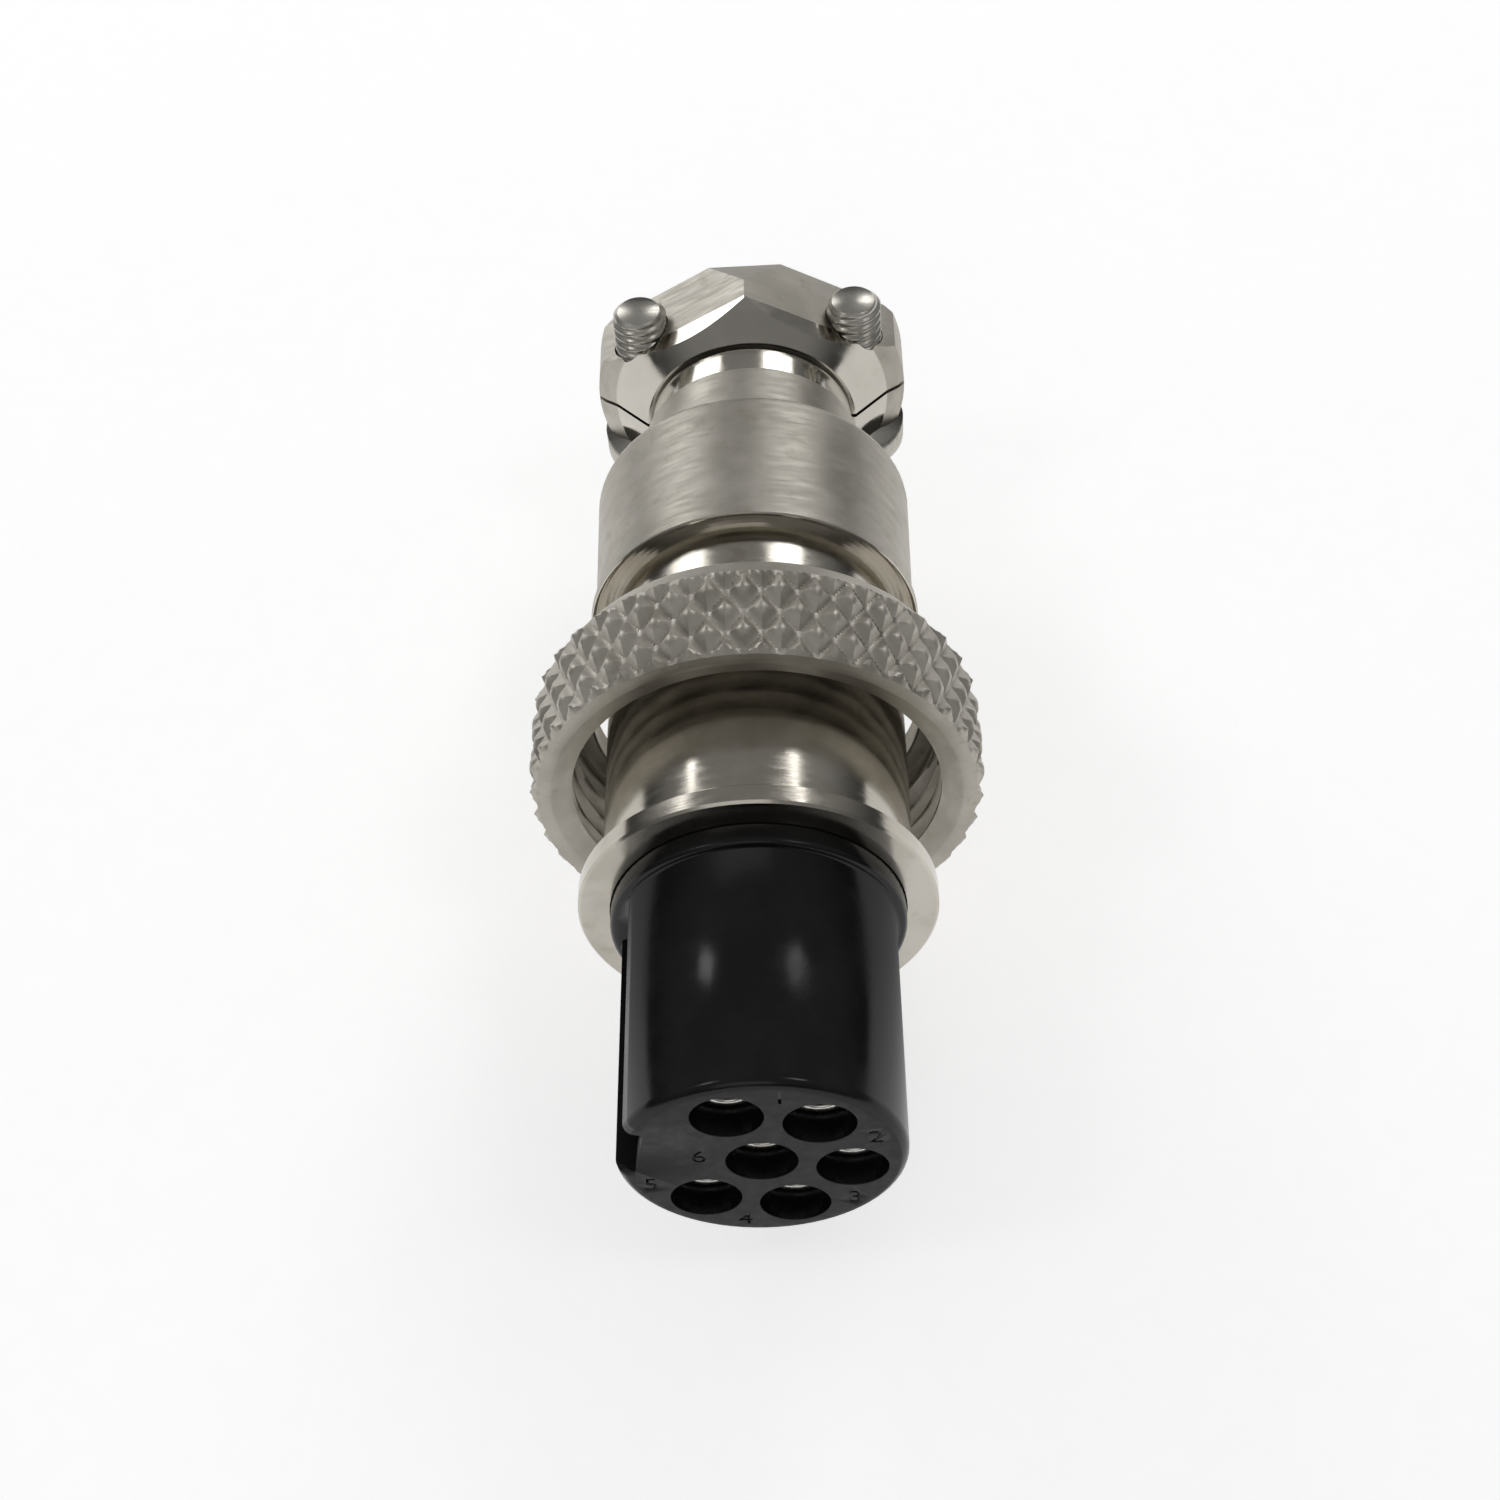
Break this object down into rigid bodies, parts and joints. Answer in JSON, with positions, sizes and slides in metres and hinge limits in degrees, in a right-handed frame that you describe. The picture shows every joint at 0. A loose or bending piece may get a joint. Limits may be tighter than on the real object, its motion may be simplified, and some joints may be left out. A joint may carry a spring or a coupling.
{
  "type": "circular connector plug",
  "caption": "Round cable plug with a black socket insert, a loose diamond-knurled coupling nut and a screwed cable clamp at the rear.",
  "frame": {"origin": "on the plug's axis, where the mating nose meets its shoulder", "axes": "the plug's axis is Y with the mating nose towards -Y, and +Z is the side of the cable clamp's loose saddle"},
  "size_m": [0.0186, 0.0436, 0.0186],
  "materials": {
    "nickel_satin": "satin nickel plate on brass",
    "nickel_bright": "bright nickel plate on brass",
    "insulator": "smooth black moulding, matt on its front face",
    "contact": "silver plate on brass",
    "screw_steel": "nickel plate on steel"
  },
  "bodies": {
    "plug": {"insert": "insulator", "contact_1": "contact", "contact_2": "contact", "contact_3": "contact", "contact_4": "contact", "contact_5": "contact", "contact_6": "contact", "front_sleeve": "nickel_bright", "rear_shell": "nickel_satin", "set_screw": "screw_steel"},
    "coupling_nut": {"coupling_nut": "nickel_satin"},
    "saddle": {"clamp_saddle": "nickel_satin"},
    "screw_left": {"clamp_screw_left": "screw_steel"},
    "screw_right": {"clamp_screw_right": "screw_steel"}
  },
  "joints": [
    {"name": "coupling_nut_slide", "type": "slide", "parent": "plug", "child": "coupling_nut", "axis": [0, -1, 0], "range_m": [-0.0039, 0.0088]},
    {"name": "clamp_screw_left_turn", "type": "hinge", "parent": "plug", "child": "screw_left", "pos_m": [-0.0049, 0.03124, 0], "axis": [0, 0, -1], "range_deg": [0, 1440]},
    {"name": "clamp_screw_right_turn", "type": "hinge", "parent": "plug", "child": "screw_right", "pos_m": [0.0049, 0.03124, 0], "axis": [0, 0, -1], "range_deg": [0, 1440]},
    {"name": "saddle_lift", "type": "slide", "parent": "plug", "child": "saddle", "axis": [0, 0, 1], "range_m": [0, 0.0018]}
  ],
  "couplings": [
    {"joint": "clamp_screw_left_turn", "follows": "saddle_lift", "rad_per_m": 13963},
    {"joint": "clamp_screw_right_turn", "follows": "saddle_lift", "rad_per_m": 13963}
  ]
}
